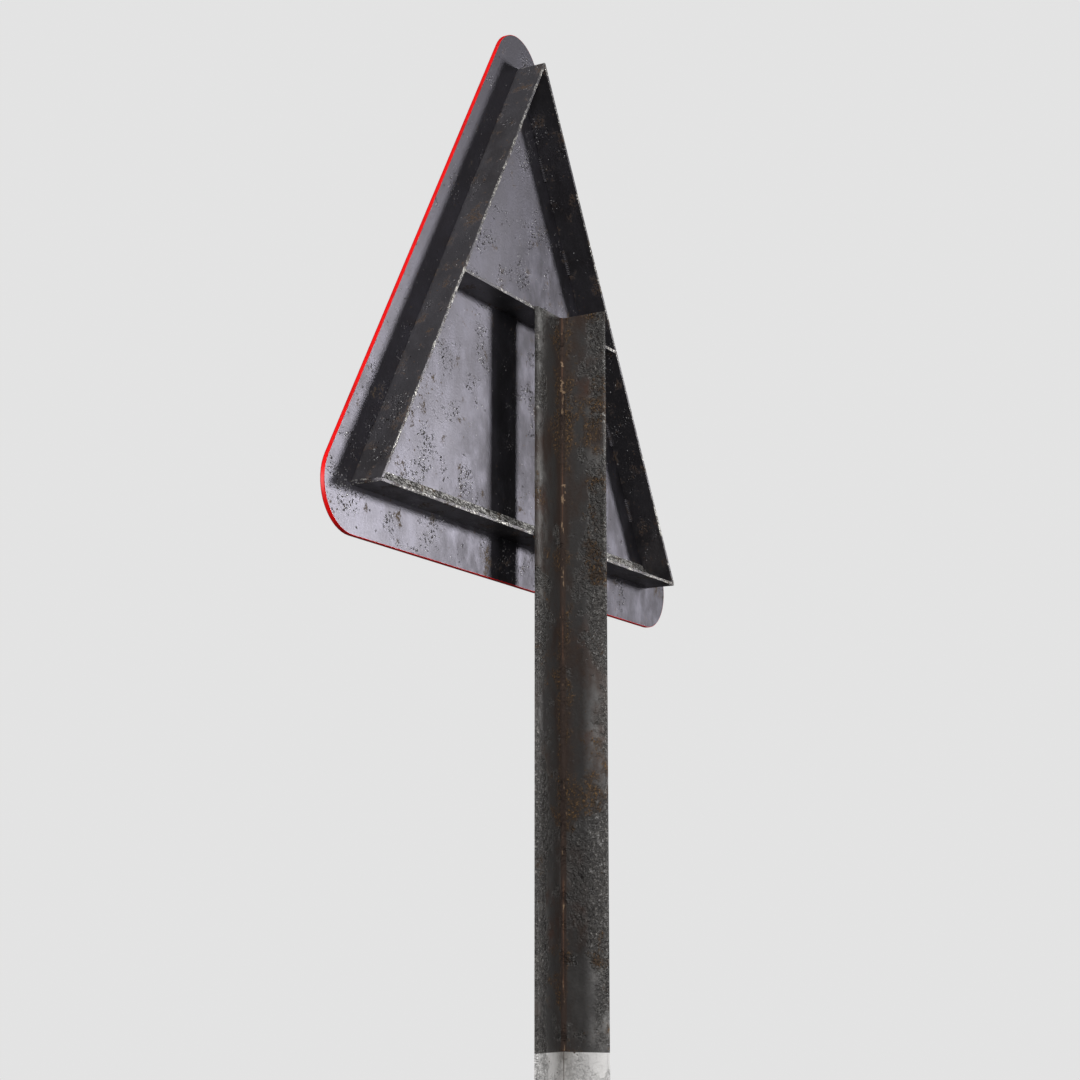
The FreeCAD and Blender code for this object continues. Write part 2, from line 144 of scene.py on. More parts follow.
def trace(corners: Sequence[Corner], step: float, inset: float) -> Outline:
    """The outline through rounded corners, moved inwards by an inset.

    Each corner becomes an arc that begins radius times the tangent of half the turn before
    it. The arc's points lie a radius from its centre, along a normal that turns evenly from
    one edge's to the next one's. The inset moves a corner along its mitre, the sum of its two
    normals over one plus their dot product, and comes off an outer corner's radius.

    Args:
        corners: the corners, anticlockwise.
        step: the greatest spacing on the straight runs.
        inset: how far inwards to go.

    Returns:
        The outline. Its point count doesn't depend on the inset.
    """
    spots = np.array([(corner.across, corner.up) for corner in corners])
    ahead = np.roll(spots, -1, axis=0) - spots
    ahead /= np.linalg.norm(ahead, axis=1)[:, None]
    behind = np.roll(ahead, 1, axis=0)
    turn = np.arctan2(
        behind[:, 0] * ahead[:, 1] - behind[:, 1] * ahead[:, 0], (behind * ahead).sum(axis=1))
    outward = np.stack([ahead[:, 1], -ahead[:, 0]], axis=1)
    before = np.roll(outward, 1, axis=0)
    mitre = (outward + before) / (1 + (outward * before).sum(axis=1))[:, None]
    moved = spots - inset * mitre
    full = np.array([corner.radius for corner in corners])
    side = np.sign(turn)
    radius = np.maximum(full - side * inset, full * 0.05)
    full_lead = full * np.tan(np.abs(turn) / 2)
    lead = radius * np.tan(np.abs(turn) / 2)
    sharp = full < SHARP_RADIUS
    points, normals, reaches = [], [], []
    for index in range(len(corners)):
        after = (index + 1) % len(corners)
        steps = SHARP_STEPS if sharp[index] else ROUND_STEPS
        first = math.atan2(before[index, 1], before[index, 0])
        angles = first + turn[index] * np.linspace(0, 1, steps + 1)
        arc = np.stack([np.cos(angles), np.sin(angles)], axis=1)
        start = moved[index] - behind[index] * lead[index]
        points.append(start + side[index] * radius[index] * (arc - arc[0]))
        normals.append(arc)
        reaches.append(np.full(steps + 1, 0.0 if sharp[index] else FAR_FROM_EDGE))
        full_run = np.linalg.norm(spots[after] - spots[index]) - full_lead[index] - full_lead[after]
        along = spaced(full_run, step)
        begin = moved[index] + ahead[index] * lead[index]
        end = moved[after] - ahead[index] * lead[after]
        points.append(begin + (along / full_run)[:, None] * (end - begin))
        normals.append(np.tile(outward[index], (len(along), 1)))
        from_start = along if sharp[index] else np.full_like(along, FAR_FROM_EDGE)
        to_end = full_run - along if sharp[after] else np.full_like(along, FAR_FROM_EDGE)
        reaches.append(np.minimum(from_start, to_end))
    return Outline(np.concatenate(points), np.concatenate(normals), np.concatenate(reaches))


@dataclass(frozen=True)
class Hole:
    """A round hole through a slab, in metres."""

    across: float
    up: float
    radius: float

    def trace(self, inset: float) -> Outline:
        """The rim, clockwise, with normals to its middle; an inset makes it wider."""
        angles = -np.linspace(0, 2 * math.pi, HOLE_STEPS, endpoint=False)
        rim = np.stack([np.cos(angles), np.sin(angles)], axis=1)
        points = np.array([self.across, self.up]) + (self.radius + inset) * rim
        return Outline(points, -rim, np.full(HOLE_STEPS, FAR_FROM_EDGE))


@dataclass
class Shell:
    """A closed surface, with each vertex's distance to an edge in millimetres.

    finish is each face's material number, and normals are given where they are exact.
    """

    vertices: np.ndarray
    faces: list
    edge: np.ndarray
    finish: list = field(default_factory=list)
    normals: np.ndarray | None = None


@dataclass
class Slab:
    """An outline carried through a depth, with rounded rims.

    The section at each depth is the outline moved inwards. Across a rim the depth is the
    radius times one minus the cosine, and the inset the radius times one minus the sine, of an
    angle from 0 to 90 degrees. Further rings on the flat faces end in one flat face, or in
    triangles where there are holes.
    """

    plane: Plane
    corners: Sequence[Corner]
    low: float
    high: float
    rim: float = 0.5 * MM
    step: float = 12 * MM
    depth_step: float = 8 * MM
    rings: Sequence[float] = ()
    holes: Sequence[Hole] = ()
    high_is_buried: bool = False
    warp: Callable[[np.ndarray], np.ndarray] | None = None

    def sections(self) -> tuple[np.ndarray, np.ndarray, np.ndarray]:
        """The sections from the low face's middle to the high face's middle.

        Returns:
            Their depths, insets and tilts: the normal's angle to the outline's plane.
        """
        angle = np.linspace(0, QUARTER, RIM_STEPS + 1)
        rise = self.rim * (1 - np.cos(angle))
        inset = self.rim * (1 - np.sin(angle))
        rings = self.rim + np.array(self.rings)[::-1]
        wall = self.low + self.rim + spaced(self.high - self.low - 2 * self.rim, self.depth_step)
        depths = np.concatenate([
            np.full(len(rings), self.low), self.low + rise, wall,
            self.high - rise[::-1], np.full(len(rings), self.high)])
        insets = np.concatenate([rings, inset, np.zeros(len(wall)), inset[::-1], rings[::-1]])
        flat = np.full(len(rings), QUARTER)
        tilts = np.concatenate(
            [-flat, angle - QUARTER, np.zeros(len(wall)), QUARTER - angle[::-1], flat])
        return depths, insets, tilts

    def build(self) -> Shell:
        """The slab's closed surface; its finish is 0 on the flat faces and 1 on the wall."""
        depths, insets, tilts = self.sections()
        outer = [trace(self.corners, self.step, inset) for inset in insets]
        loops = [outer] + [[hole.trace(inset) for inset in insets] for hole in self.holes]
        vertices, normals, edges, faces, finish, starts = [], [], [], [], [], []
        base = 0
        on_face = np.isclose(np.abs(tilts), QUARTER)
        for loop in loops:
            count = len(loop[0].points)
            flat = np.stack([section.points for section in loop])
            depth = np.broadcast_to(depths[:, None, None], (len(depths), count, 1))
            vertices.append(np.concatenate([flat, depth], axis=2).reshape(-1, 3))
            level = np.cos(tilts)[:, None, None] * loop[0].normals[None]
            lift = np.broadcast_to(np.sin(tilts)[:, None, None], (len(depths), count, 1))
            normals.append(np.concatenate([level, lift], axis=2).reshape(-1, 3))
            to_high = FAR_FROM_EDGE if self.high_is_buried else self.high - depths
            to_rim = np.minimum(depths - self.low, to_high) - self.rim
            to_rim = np.where(on_face, insets - self.rim, np.maximum(to_rim, 0))
            to_corner = np.where(on_face[:, None], FAR_FROM_EDGE, loop[0].to_corner[None])
            edges.append(np.minimum(to_rim[:, None], to_corner).reshape(-1))
            faces.extend(ring_quads(len(depths), count, base))
            is_wall = (~(on_face[:-1] & on_face[1:])).astype(int)
            finish.extend(np.repeat(is_wall, count).tolist())
            starts.append((base, base + (len(depths) - 1) * count, count))
            base += len(depths) * count
        local = np.concatenate(vertices)
        for is_high in (False, True):
            caps = self.cap(local, starts, is_high)
            faces.extend(caps)
            finish.extend([0] * len(caps))
        turn = np.array(self.plane.value, float)
        world, facing = local @ turn, np.concatenate(normals) @ turn
        if self.warp is not None:
            world, facing = self.warp(world), None
        return Shell(world, faces, np.concatenate(edges) / MM, finish, facing)

    def cap(self, local: np.ndarray, starts: Sequence[tuple[int, int, int]], is_high: bool) -> list:
        """The faces that close one flat side.

        Args:
            local: all vertices in outline coordinates.
            starts: each loop's first vertex in its lowest and highest ring, and its count.
            is_high: True for the side at the greater depth.

        Returns:
            Lists of indices, facing outwards.
        """
        rings = [list(range(first[is_high], first[is_high] + first[2])) for first in starts]
        if len(rings) == 1:
            return [rings[0] if is_high else rings[0][::-1]]
        flat = [[Vector((*local[index, :2], 0.0)) for index in ring] for ring in rings]
        order = np.concatenate(rings)
        triangles = order[np.array(tessellate_polygon(flat))]
        corners = local[triangles]
        first, second = corners[:, 1] - corners[:, 0], corners[:, 2] - corners[:, 0]
        area = first[:, 0] * second[:, 1] - first[:, 1] * second[:, 0]
        wrong = (area < 0) == is_high
        triangles[wrong] = triangles[wrong][:, ::-1]
        return triangles.tolist()


@dataclass(frozen=True)
class Bead:
    """A weld bead in the corner between two faces.

    It starts at a point of the joint line and runs along a unit direction. Its section is a
    sector that opens from the direction first, by the right-hand rule about the run.
    """

    start: Vector
    along: Vector
    first: Vector
    length: float
    leg: float = 4 * MM
    turn: float = QUARTER
    pitch: float = 2.6 * MM
    lump: float = 3.5 * MM
    sides: int = 8

    def build(self) -> Shell:
        """The bead's closed surface, inside its sector.

        The radius is the leg times 0.84 plus 0.1 of a ripple. The ripple is the cosine of the
        run over its pitch, bent back towards the middle of the section as a pool of metal
        sets. Slow lumps of a twentieth follow the run, and over the last leg at both ends the
        radius falls as a quarter circle.
        """
        run = np.linspace(0, self.length, max(8, int(self.length / (self.pitch / 6))))
        angle = np.linspace(0, self.turn, self.sides + 1)
        share = angle / self.turn * 2 - 1
        ripple = np.cos(2 * math.pi * run[:, None] / self.pitch + 1.8 * (1 - share[None] ** 2))
        near_end = np.clip(np.minimum(run, self.length - run) / self.leg, 0, 1)
        taper = np.sqrt(1 - (1 - near_end) ** 2) * 0.75 + 0.25
        lumps = 1 + 0.05 * np.sin(run / self.lump + 400 * sum(self.start))[:, None]
        radius = self.leg * (0.84 + 0.1 * ripple) * lumps * taper[:, None]
        across = np.array(self.first)
        up = np.array(self.along.cross(self.first))
        arc = np.cos(angle)[:, None] * across + np.sin(angle)[:, None] * up
        centre = np.array(self.start) + run[:, None] * np.array(self.along)
        body = centre[:, None] + radius[..., None] * arc[None]
        grid = np.concatenate([centre[:, None], body], axis=1)
        rows, columns = grid.shape[:2]
        faces = ring_quads(rows, columns)
        faces.append(list(range(columns))[::-1])
        faces.append(list(range((rows - 1) * columns, rows * columns)))
        vertices = grid.reshape(-1, 3)
        return Shell(vertices, faces, np.full(len(vertices), FAR_FROM_EDGE))


def joined(shells: Sequence[Shell]) -> Shell:
    """Several shells as one, each still a closed surface of its own."""
    offset, faces, finish = 0, [], []
    for shell in shells:
        faces.extend([[index + offset for index in face] for face in shell.faces])
        finish.extend(shell.finish or [0] * len(shell.faces))
        offset += len(shell.vertices)
    vertices = np.concatenate([shell.vertices for shell in shells])
    return Shell(vertices, faces, np.concatenate([shell.edge for shell in shells]), finish)


# ---- pieces


def linked(name: str, data: bpy.types.ID) -> bpy.types.Object:
    """A new object of some data, linked to the scene."""
    thing = bpy.data.objects.new(name, data)
    bpy.context.collection.objects.link(thing)
    return thing


def add_piece(name: str, shell: Shell, materials: Sequence[Material], node: str) -> None:
    """Make an object of a shell and let it stand for a CAD node.

    Args:
        name: the piece's name.
        shell: its surface in the row frame.
        materials: its materials, in the order of the shell's finish numbers.
        node: the CAD node it replaces, which it hides.
    """
    mesh = bpy.data.meshes.new(name)
    mesh.from_pydata(shell.vertices.tolist(), [], shell.faces)
    for material in materials:
        mesh.materials.append(material)
    if shell.finish and len(materials) > 1:
        mesh.polygons.foreach_set("material_index", np.array(shell.finish, dtype=np.int32))
    mesh.polygons.foreach_set("use_smooth", np.ones(len(mesh.polygons), dtype=bool))
    attribute = mesh.attributes.new(EDGE_ATTRIBUTE, "FLOAT", "POINT")
    attribute.data.foreach_set("value", shell.edge.astype(np.float32))
    if shell.normals is None:
        mesh.set_sharp_from_angle(angle=CREASE_ANGLE)
    else:
        mesh.normals_split_custom_set_from_vertices(shell.normals.tolist())
    mesh.update()
    piece = linked(name, mesh)
    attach(piece, BODY)
    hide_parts(node)
    LOG.info("%s: %d vertices, replaces %s", name, len(mesh.vertices), node)


def dress_node(node: str, material: Material) -> None:
    """Give a CAD node that keeps its own mesh a material."""
    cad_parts[node].material_slots[0].material = material
    LOG.info("%s: keeps its CAD mesh, finished in %s", node, material.name)


# ---- shader building


def linear(code: str) -> tuple[float, float, float, float]:
    """An sRGB hex colour as linear red, green, blue and alpha."""
    channels = [int(code[start:start + 2], 16) / 255 for start in (0, 2, 4)]
    values = [c / 12.92 if c <= 0.04045 else ((c + 0.055) / 1.055) ** 2.4 for c in channels]
    return (*values, 1.0)


def add_node(
    tree: bpy.types.NodeTree, kind: str, inputs: dict | None = None, **settings: object
) -> bpy.types.Node:
    """Add a shader node.

    Args:
        tree: the node tree it goes into.
        kind: its type name after "ShaderNode".
        inputs: socket name or number to a value, or to the output socket that feeds it.
        settings: properties of the node.

    Returns:
        The new node.
    """
    node = tree.nodes.new(f"ShaderNode{kind}")
    for name, value in settings.items():
        setattr(node, name, value)
    for name, value in (inputs or {}).items():
        if isinstance(value, Socket):
            tree.links.new(value, node.inputs[name])
        else:
            node.inputs[name].default_value = value
    return node


class Skin:
    """A material in the making: colour, roughness, metal and relief that coats build up.

    Relief is in millimetres, and a bump node turns it into the shading normal.
    """

    def __init__(self, name: str, colour: str, roughness: float, metal: float = 0.0) -> None:
        """Start a material of one plain coat.

        Args:
            name: its name.
            colour: its sRGB hex.
            roughness: its roughness.
            metal: how metallic it is.
        """
        self.material = bpy.data.materials.new(name)
        self.material.use_nodes = True
        self.tree = self.material.node_tree
        self.tree.nodes.clear()
        self.place = add_node(self.tree, "TexCoord").outputs["Object"]
        self.colour: object = linear(colour)
        self.roughness: object = roughness
        self.metal: object = metal
        self.relief: object = 0.0

    def level(self, value: object, low: float, high: float, smooth: bool = True) -> Socket:
        """A mask that goes from 0 at the low value to 1 at the high one, which may be smaller."""
        kind = "SMOOTHSTEP" if smooth else "LINEAR"
        node = add_node(
            self.tree, "MapRange", {"Value": value, "From Min": low, "From Max": high},
            interpolation_type=kind)
        return node.outputs["Result"]

    def sums(self, operation: str, *values: object) -> Socket:
        """One arithmetic step on sockets or numbers."""
        step = add_node(self.tree, "Math", dict(enumerate(values)), operation=operation)
        return step.outputs["Value"]

    def times(self, mask: object, factor: object) -> Socket:
        """A mask multiplied by another one or by a number."""
        return self.sums("MULTIPLY", mask, factor)

    def axis(self, letter: str) -> Socket:
        """One of the object coordinates X, Y or Z, in metres."""
        return add_node(self.tree, "SeparateXYZ", {"Vector": self.place}).outputs[letter]

    def noise(
        self, size: float, seed: float, detail: float = 4.0, stretch: Sequence[float] = (1, 1, 1),
        rough: float = 0.6, output: str = "Fac",
    ) -> Socket:
        """Cloudy noise.

        Args:
            size: its features' size in millimetres.
            seed: moves the pattern.
            detail: how many finer layers it has.
            stretch: how much finer it is along X, Y and Z.
            rough: how strong the finer layers are.
            output: "Fac" for one number or "Color" for three.

        Returns:
            The noise.
        """
        moved = add_node(
            self.tree, "Mapping",
            {"Vector": self.place, "Location": (seed, seed * 1.7, -seed), "Scale": tuple(stretch)})
        noise = add_node(
            self.tree, "TexNoise",
            {"Vector": moved.outputs["Vector"], "Scale": 1 / (size * MM), "Detail": detail,
             "Roughness": rough})
        return noise.outputs[output]

    def patches(
        self, size: float, low: float, high: float, seed: float, within: object = None,
        **shape: object,
    ) -> Socket:
        """Cloudy patches: noise cut between two levels.

        Args:
            size: a patch's size in millimetres.
            low: noise level where the mask leaves 0.
            high: noise level where it reaches 1.
            seed: moves the pattern.
            within: a mask or number to multiply it by.
            **shape: detail, stretch and rough of the noise.

        Returns:
            The mask.
        """
        cut = self.level(self.noise(size, seed, **shape), low, high)
        return cut if within is None else self.times(cut, within)

    def spots(
        self, spacing: float, radius: float, seed: float, within: object = 1.0, ragged: float = 0.5,
    ) -> Socket:
        """Small spots with ragged rims, one in each cell of a random net.

        Args:
            spacing: mean distance between spots in millimetres.
            radius: a spot's radius in millimetres.
            seed: moves the pattern.
            within: a mask or number to multiply it by.
            ragged: how far fine noise pushes the rims, in radii.

        Returns:
            The mask.
        """
        push = ragged * radius * 2 * MM
        moved = add_node(
            self.tree, "VectorMath",
            {0: self.noise(radius * 1.5, seed, 2.0, output="Color"), 1: (push,) * 3, 2: self.place},
            operation="MULTIPLY_ADD")
        cells = add_node(
            self.tree, "TexVoronoi",
            {"Vector": moved.outputs["Vector"], "Scale": 1 / (spacing * MM), "Randomness": 1.0})
        edge = radius / spacing
        return self.times(self.level(cells.outputs["Distance"], edge, edge * 0.5), within)

    def worn_edge(self, width: float, grain: float, seed: float, cover: float = 0.5) -> Socket:
        """Ragged wear, where an edge is nearer than the width times a ragged noise.

        Args:
            width: how far it reaches, in millimetres.
            grain: size of its bites, in millimetres.
            seed: moves the pattern.
            cover: the share of the edge that is worn, about.

        Returns:
            The mask.
        """
        edge = add_node(self.tree, "Attribute", attribute_name=EDGE_ATTRIBUTE)
        bites = self.noise(grain, seed, 5.0, rough=0.75)
        stretches = self.noise(grain * 12, seed + 0.5, 3.0)
        both = self.sums("MULTIPLY_ADD", stretches, 0.6, bites)
        start = 0.8 - (cover - 0.5) * 0.4
        reach = add_node(
            self.tree, "MapRange",
            {"Value": both, "From Min": start, "From Max": start + 0.3, "To Min": -0.3,
             "To Max": width})
        gap = self.sums("SUBTRACT", reach.outputs["Result"], edge.outputs["Fac"])
        return self.level(gap, -0.15, 0.15)

    def coat(
        self, mask: object, colour: str, roughness: float, rise: float = 0.0, metal: float = 0.0,
    ) -> None:
        """Lay a coat over what is there, where a mask holds.

        Args:
            mask: the mask.
            colour: the coat's sRGB hex.
            roughness: its roughness.
            rise: how far it stands proud, in millimetres; below zero it is sunk.
            metal: how metallic it is.
        """
        # A Mix node takes numbers on sockets 2 and 3, and colours on 6 and 7.
        over = add_node(
            self.tree, "Mix", {"Factor": mask, 6: self.colour, 7: linear(colour)}, data_type="RGBA")
        self.colour = over.outputs[2]
        self.roughness = self.between(mask, self.roughness, roughness)
        if isinstance(self.metal, Socket) or self.metal != metal:
            self.metal = self.between(mask, self.metal, metal)
        if rise:
            self.raise_by(mask, rise)

    def between(self, mask: object, under: object, over: float) -> Socket:
        """A number that goes from under to over with a mask."""
        mix = add_node(self.tree, "Mix", {"Factor": mask, 2: under, 3: over}, data_type="FLOAT")
        return mix.outputs[0]

    def raise_by(self, mask: object, rise: float) -> None:
        """Add a mask times a height in millimetres to the relief."""
        self.relief = self.sums("MULTIPLY_ADD", mask, rise, self.relief)

    def done(self, specular: float = 0.5) -> Material:
        """Join the coats to a Principled shader of the given specular level and hand it over."""
        inputs = {
            "Base Color": self.colour, "Roughness": self.roughness, "Metallic": self.metal,
            "Specular IOR Level": specular}
        if isinstance(self.relief, Socket):
            bump = add_node(
                self.tree, "Bump", {"Height": self.relief, "Strength": 1.0, "Distance": MM})
            inputs["Normal"] = bump.outputs["Normal"]
        shader = add_node(self.tree, "BsdfPrincipled", inputs)
        add_node(self.tree, "OutputMaterial", {"Surface": shader.outputs["BSDF"]})
        return self.material


# ---- finishes


@dataclass(frozen=True)
class ZincGreyPaint:
    """Zinc grey paint brushed on the steel plate long ago.

    The metal flake in it gives a satin, slightly violet grey that is bright towards a lamp
    and nearly black away from it. Corrosion lifts it in clusters of small sharp pits, with
    pale raised spots painted beside them as highlights, and rust stains come through in
    speckled brown blotches. An optional painted shade darkens it below a slanting line.
    """

    name: str = "zinc_grey_paint_brushed_on_steel_plate"
    colour: str = "6d6b72"
    pale: str = "73717a"
    deep: str = "66646a"
    # Colour of the painted shade below the slanting line.
    painted_shade: str = "49474c"
    pit: str = "3c3836"
    stain: str = "5f5040"
    edge: str = "a9a49c"
    # Colour of the pale spots painted beside the pits as highlights.
    painted_glint: str = "b5b3b4"
    metal: float = 0.93
    roughness: float = 0.45
    pitting: float = 0.53
    staining: float = 0.61
    speckle: float = 0.0
    # How strongly the painted shade is laid; 0 leaves it out.
    painted_shade_strength: float = 0.0
    edge_width: float = 1.5
    cover: float = 0.35
    seed: float = 1.0

    def material(self) -> Material:
        """Build the paint."""
        skin = Skin(self.name, self.colour, self.roughness, self.metal)
        clouds = skin.patches(140, 0.35, 0.7, self.seed)
        skin.coat(clouds, self.deep, self.roughness + 0.06, metal=self.metal)
        if self.painted_shade_strength:
            # Painted shade: darker and slightly rougher below a line that slants across the plate,
            # towards the post and the bottom, standing in for the lamp's light falling off there.
            slant = skin.sums("MULTIPLY_ADD", skin.axis("Z"), 0.45, skin.axis("X"))
            painted_shade_mask = skin.times(skin.level(slant, 1.16, 1.02), self.painted_shade_strength)
            skin.coat(painted_shade_mask, self.painted_shade, self.roughness + 0.04, metal=self.metal)
        mottle = skin.patches(26, 0.35, 0.8, self.seed + 1, detail=8.0, stretch=(1, 1, 0.6))
        skin.coat(mottle, self.pale, self.roughness - 0.02, metal=self.metal)
        skin.raise_by(skin.noise(2.6, self.seed + 2, 3.0), 0.2)
        self.stains(skin)
        self.pits(skin)
        if self.speckle:
            scale = skin.patches(3.2, 0.5, 0.57, self.seed + 11, self.speckle, detail=3.0)
            skin.coat(scale, self.edge, 0.5, 0.3, metal=0.4)
        worn = skin.worn_edge(self.edge_width, 4.0, self.seed + 9, self.cover)
        skin.coat(worn, self.edge, 0.4, -0.12, metal=0.4)
        skin.coat(skin.patches(3.0, 0.5, 0.6, self.seed + 10, worn), self.pit, 0.85, -0.1)
        return skin.done()

    def stains(self, skin: Skin) -> None:
        """Add speckled rust blotches, 15 to 25 mm across, with faint washes and stray specks."""
        blotch = skin.patches(24, self.staining, self.staining + 0.1, self.seed + 3, detail=5.0)
        skin.coat(skin.times(blotch, 0.16), self.stain, 0.6, metal=0.7)
        specks = skin.patches(2.8, 0.47, 0.55, self.seed + 4, blotch, detail=3.0)
        skin.coat(specks, self.stain, 0.85, 0.2)
        dust = skin.patches(60, self.staining - 0.1, self.staining, self.seed + 14, detail=5.0)
        skin.coat(skin.spots(9, 1.5, self.seed + 15, dust, 0.8), self.stain, 0.8, 0.1)

    def pits(self, skin: Skin) -> None:
        """Add clusters of sharp pits, 2 to 3 mm across, pale raised spots painted beside them as
        highlights, and single ones.
        """
        cluster = skin.patches(46, self.pitting, self.pitting + 0.12, self.seed + 5, detail=6.0)
        skin.coat(skin.spots(4.8, 1.4, self.seed + 6, cluster, 0.8), self.pit, 0.45, -0.9, metal=0.8)
        skin.coat(skin.spots(6, 1.6, self.seed + 7, cluster, 0.7), self.pit, 0.5, -0.8, metal=0.8)
        # Painted highlights: pale raised spots among the pits.
        skin.coat(skin.spots(4.4, 1.3, self.seed + 12, cluster, 0.8), self.painted_glint, 0.35, 0.6, metal=0.5)
        sparse = skin.patches(90, 0.44, 0.52, self.seed + 8)
        skin.coat(skin.spots(15, 1.5, self.seed + 8, sparse), self.pit, 0.5, -0.8, metal=0.7)
        # Single painted highlights beside the single pits.
        skin.coat(skin.spots(11, 1.2, self.seed + 13, sparse), self.painted_glint, 0.35, 0.5, metal=0.5)


@dataclass(frozen=True)
class RedEdgeEnamel:
    """Signal red gloss enamel on the plate's cut edge: saturated, with a few small chips."""

    name: str = "red_gloss_enamel_brushed_on_cut_edge"
    colour: str = "ee0e0e"
    deep: str = "cc0c0c"
    chip: str = "6e6a68"

    def material(self) -> Material:
        """Build the enamel."""
        skin = Skin(self.name, self.colour, 0.4)
        skin.coat(skin.patches(40, 0.45, 0.7, 31.0), self.deep, 0.45)
        skin.coat(skin.patches(7, 0.68, 0.74, 32.0), self.chip, 0.7, -0.08)
        return skin.done(0.25)


@dataclass(frozen=True)
class PostPaint:
    """Charcoal bitumen paint over angle iron, with the lower length painted white.

    The dark paint is matt and brownish. Rust creeps out of the inner corner, with tan flakes
    on it, and breaks through in ochre speckled blooms. The outer parts of both flanges were
    pitted and painted over, which leaves them lumpy; the paler patches there and on the lumps,
    the pale specks and the darker lows of the lumps are painted sheen, highlight and shade.
    The white stops at a level brush line and is greyed by dirt, and painted shade darkens it
    towards the inner corner.
    """

    crease_x: float
    crease_y: float
    name: str = "charcoal_and_white_paint_over_rusting_angle_iron"
    colour: str = "474544"
    # Paler tone; on the flanges' outer parts and on the lumps it is painted sheen.
    pale: str = "72706e"
    brown: str = "40322b"
    red: str = "4f382e"
    rust: str = "4f4033"
    bloom: str = "866845"
    # Colour of the painted shade in the lows of the lumps.
    painted_hollow_shade: str = "353231"
    crease: str = "6a4c3a"
    flake: str = "a08468"
    white: str = "efedeb"
    # Dirt on the white; also the colour of the darkening near the inner corner, partly painted shade.
    dirt: str = "9d9995"
    grime: str = "6d645d"
    mud: str = "7b6f60"
    # Worn edges, and the pale specks painted on the lumps as highlights.
    edge: str = "9c9893"
    line: float = 1.444

    def material(self) -> Material:
        """Build the paint."""
        skin = Skin(self.name, self.colour, 0.42)
        reach = self.from_crease(skin)
        halo = skin.level(reach, 24 * MM, 3 * MM)
        outer = skin.level(reach, 30 * MM, 46 * MM)
        self.tints(skin, halo, outer)
        self.lumps(skin, outer)
        self.blooms(skin, halo)
        seam = self.seam(skin, reach)
        worn = skin.worn_edge(1.4, 5.0, 12.0, 0.3)
        skin.coat(worn, self.edge, 0.45, -0.1)
        self.add_white(skin, halo, seam)
        return skin.done()

    def from_crease(self, skin: Skin) -> Socket:
        """Level distance from the post's inner corner, in metres."""
        away = add_node(
            skin.tree, "Mapping",
            {"Vector": skin.place, "Location": (-self.crease_x, -self.crease_y, 0.0),
             "Scale": (1, 1, 0)})
        return add_node(
            skin.tree, "VectorMath", {0: away.outputs["Vector"]}, operation="LENGTH").outputs["Value"]

    def tints(self, skin: Skin, halo: Socket, outer: Socket) -> None:
        """Wash the charcoal with paler, brown and red-brown clouds; the paler patches on the flanges'
        outer parts are painted sheen.
        """
        skin.coat(skin.patches(90, 0.5, 0.75, 2.0, stretch=(1, 1, 0.5)), self.pale, 0.4)
        # Painted sheen: paler, smoother patches on the flanges' outer parts, where light catches them.
        skin.coat(skin.patches(60, 0.45, 0.6, 2.5, outer, detail=6.0), self.pale, 0.38)
        skin.coat(skin.patches(70, 0.46, 0.66, 3.0, stretch=(1, 1, 0.6)), self.brown, 0.6)
        skin.coat(skin.patches(110, 0.55, 0.68, 3.5, detail=6.0), self.red, 0.6)
        seep = skin.patches(26, 0.38, 0.62, 4.0, halo, stretch=(1, 1, 0.35))
        skin.coat(seep, self.brown, 0.75)
        skin.raise_by(skin.noise(4.0, 11.0, 4.0), 0.7)

    def lumps(self, skin: Skin, outer: Socket) -> None:
        """Add painted-over pits: sharp lumps of 4 to 6 mm, densest on the flanges' outer parts."""
        cloud = skin.noise(110, 6.0, 5.0, (1, 1, 0.8))
        broad = skin.level(skin.sums("MULTIPLY_ADD", outer, 0.17, cloud), 0.55, 0.66)
        either = skin.sums("MAXIMUM", broad, skin.patches(44, 0.57, 0.66, 6.5, detail=5.0))
        high = skin.level(skin.axis("Z"), self.line - 0.12, self.line)
        zone = skin.times(either, skin.sums("MULTIPLY_ADD", high, 0.6, 0.4))
        # Painted highlight: the lumpy zone is painted paler and smoother, for the light its lumps
        # catch.
        skin.coat(skin.times(zone, 0.8), self.pale, 0.22)
        skin.raise_by(skin.patches(4.8, 0.44, 0.6, 7.0, zone, detail=3.0), 3.2)
        skin.raise_by(skin.patches(2.6, 0.44, 0.6, 7.2, zone, detail=2.0), 1.2)
        skin.raise_by(zone, -2.0)
        # Painted shade in the lows of the lumps.
        skin.coat(skin.patches(4.8, 0.48, 0.38, 7.0, zone, detail=3.0), self.painted_hollow_shade, 0.4)
        # Painted highlights: pale raised specks on the lumps.
        chips = skin.patches(3.4, 0.62, 0.67, 7.5, zone, detail=2.0)
        skin.coat(chips, self.edge, 0.4, 0.15)
        skin.raise_by(skin.spots(30, 2.0, 7.7), -0.5)

